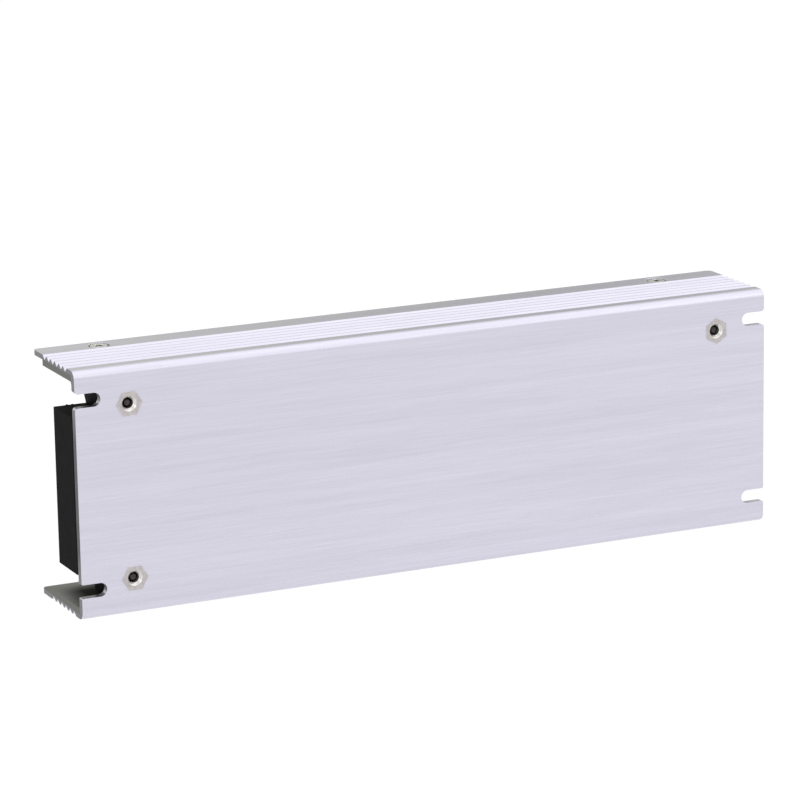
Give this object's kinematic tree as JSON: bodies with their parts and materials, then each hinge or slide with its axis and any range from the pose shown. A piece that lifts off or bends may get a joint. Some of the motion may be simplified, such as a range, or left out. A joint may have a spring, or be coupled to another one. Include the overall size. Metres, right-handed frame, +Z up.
{
  "type": "switching power supply",
  "caption": "slim switching power supply in a ribbed extruded aluminium channel with a perforated cover, a black insulating tray and barrier terminals at both ends",
  "frame": {"origin": "the middle of the bottom, where the part stands on its lower long flange", "axes": "X along the channel, Y from the flat plate towards the perforated cover, Z up across the flanges"},
  "size_m": [0.193, 0.029, 0.063],
  "materials": {
    "anodised_aluminium": "brushed, satin anodised",
    "cover_sheet": "mill finish",
    "bright_steel": "nickel plated",
    "dark_steel": "dark oxide",
    "tray_plastic": "fine matte",
    "terminal_plastic": "moulded",
    "contact_metal": "tinned",
    "board_laminate": "solder mask",
    "ferrite": "sintered",
    "enamel_wire": "enamelled",
    "winding_tape": "smooth film",
    "bobbin_plastic": "moulded",
    "capacitor_sleeve": "shrunk sleeve",
    "film_box": "moulded box",
    "disc_coating": "dipped",
    "thermistor_coating": "dipped",
    "device_plastic": "moulded",
    "pad_silicone": "smooth",
    "fuse_body": "glazed",
    "lamp_lens": "clear tinted",
    "trimmer_case": "moulded",
    "trimmer_white": "moulded"
  },
  "bodies": {
    "enclosure": {"board_screws": "dark_steel", "board_standoffs": "bright_steel", "bridge_rectifier": "device_plastic", "bulk_capacitors": "capacitor_sleeve", "channel": "anodised_aluminium", "circuit_board": "board_laminate", "clamp_bars": "bright_steel", "clamp_screws": "bright_steel", "controller_chip": "device_plastic", "cover": "cover_sheet", "cover_screws": "bright_steel", "fuse": "fuse_body", "indicator_lamp": "lamp_lens", "input_contacts": "contact_metal", "input_terminal_block": "terminal_plastic", "inrush_thermistor": "thermistor_coating", "insulating_pads": "pad_silicone", "insulating_tray": "tray_plastic", "line_choke_core": "ferrite", "line_choke_windings": "enamel_wire", "optocoupler": "device_plastic", "output_capacitors": "capacitor_sleeve", "output_contacts": "contact_metal", "output_inductor_core": "ferrite", "output_inductor_winding": "enamel_wire", "output_rectifiers": "device_plastic", "output_terminal_block": "terminal_plastic", "switch_transistors": "device_plastic", "transformer_bobbin": "bobbin_plastic", "transformer_core": "ferrite", "transformer_winding": "winding_tape", "trimmer_body": "trimmer_case", "varistor": "disc_coating", "x_capacitor": "film_box", "y_capacitors": "disc_coating"},
    "input_clamp_1": {"input_washer_1": "bright_steel"},
    "input_driver_1": {"input_screw_1": "bright_steel"},
    "input_clamp_2": {"input_washer_2": "bright_steel"},
    "input_driver_2": {"input_screw_2": "bright_steel"},
    "input_clamp_3": {"input_washer_3": "bright_steel"},
    "input_driver_3": {"input_screw_3": "bright_steel"},
    "output_clamp_1": {"output_washer_1": "bright_steel"},
    "output_driver_1": {"output_screw_1": "bright_steel"},
    "output_clamp_2": {"output_washer_2": "bright_steel"},
    "output_driver_2": {"output_screw_2": "bright_steel"},
    "output_clamp_3": {"output_washer_3": "bright_steel"},
    "output_driver_3": {"output_screw_3": "bright_steel"},
    "output_clamp_4": {"output_washer_4": "bright_steel"},
    "output_driver_4": {"output_screw_4": "bright_steel"},
    "adjuster": {"trimmer_rotor": "trimmer_white"}
  },
  "joints": [
    {"name": "input_clamp_1_lift", "type": "slide", "parent": "enclosure", "child": "input_clamp_1", "axis": [0, 1, 0], "range_m": [0, 0.0018]},
    {"name": "input_screw_1_turn", "type": "hinge", "parent": "input_clamp_1", "child": "input_driver_1", "pos_m": [-0.0861, 0.0046, 0.02275], "axis": [0, 1, 0], "range_deg": [0, 1080]},
    {"name": "input_clamp_2_lift", "type": "slide", "parent": "enclosure", "child": "input_clamp_2", "axis": [0, 1, 0], "range_m": [0, 0.0018]},
    {"name": "input_screw_2_turn", "type": "hinge", "parent": "input_clamp_2", "child": "input_driver_2", "pos_m": [-0.0861, 0.0046, 0.031], "axis": [0, 1, 0], "range_deg": [0, 1080]},
    {"name": "input_clamp_3_lift", "type": "slide", "parent": "enclosure", "child": "input_clamp_3", "axis": [0, 1, 0], "range_m": [0, 0.0018]},
    {"name": "input_screw_3_turn", "type": "hinge", "parent": "input_clamp_3", "child": "input_driver_3", "pos_m": [-0.0861, 0.0046, 0.03925], "axis": [0, 1, 0], "range_deg": [0, 1080]},
    {"name": "output_clamp_1_lift", "type": "slide", "parent": "enclosure", "child": "output_clamp_1", "axis": [0, 1, 0], "range_m": [0, 0.0018]},
    {"name": "output_screw_1_turn", "type": "hinge", "parent": "output_clamp_1", "child": "output_driver_1", "pos_m": [0.0861, 0.0046, 0.01862], "axis": [0, 1, 0], "range_deg": [0, 1080]},
    {"name": "output_clamp_2_lift", "type": "slide", "parent": "enclosure", "child": "output_clamp_2", "axis": [0, 1, 0], "range_m": [0, 0.0018]},
    {"name": "output_screw_2_turn", "type": "hinge", "parent": "output_clamp_2", "child": "output_driver_2", "pos_m": [0.0861, 0.0046, 0.02687], "axis": [0, 1, 0], "range_deg": [0, 1080]},
    {"name": "output_clamp_3_lift", "type": "slide", "parent": "enclosure", "child": "output_clamp_3", "axis": [0, 1, 0], "range_m": [0, 0.0018]},
    {"name": "output_screw_3_turn", "type": "hinge", "parent": "output_clamp_3", "child": "output_driver_3", "pos_m": [0.0861, 0.0046, 0.03513], "axis": [0, 1, 0], "range_deg": [0, 1080]},
    {"name": "output_clamp_4_lift", "type": "slide", "parent": "enclosure", "child": "output_clamp_4", "axis": [0, 1, 0], "range_m": [0, 0.0018]},
    {"name": "output_screw_4_turn", "type": "hinge", "parent": "output_clamp_4", "child": "output_driver_4", "pos_m": [0.0861, 0.0046, 0.04337], "axis": [0, 1, 0], "range_deg": [0, 1080]},
    {"name": "output_trimmer_turn", "type": "hinge", "parent": "enclosure", "child": "adjuster", "pos_m": [0.0825, -0.0009, 0.0086], "axis": [0, 1, 0], "range_deg": [-120, 120]}
  ],
  "couplings": [
    {"joint": "input_screw_1_turn", "follows": "input_clamp_1_lift", "rad_per_m": 10472},
    {"joint": "input_screw_2_turn", "follows": "input_clamp_2_lift", "rad_per_m": 10472},
    {"joint": "input_screw_3_turn", "follows": "input_clamp_3_lift", "rad_per_m": 10472},
    {"joint": "output_screw_1_turn", "follows": "output_clamp_1_lift", "rad_per_m": 10472},
    {"joint": "output_screw_2_turn", "follows": "output_clamp_2_lift", "rad_per_m": 10472},
    {"joint": "output_screw_3_turn", "follows": "output_clamp_3_lift", "rad_per_m": 10472},
    {"joint": "output_screw_4_turn", "follows": "output_clamp_4_lift", "rad_per_m": 10472}
  ]
}
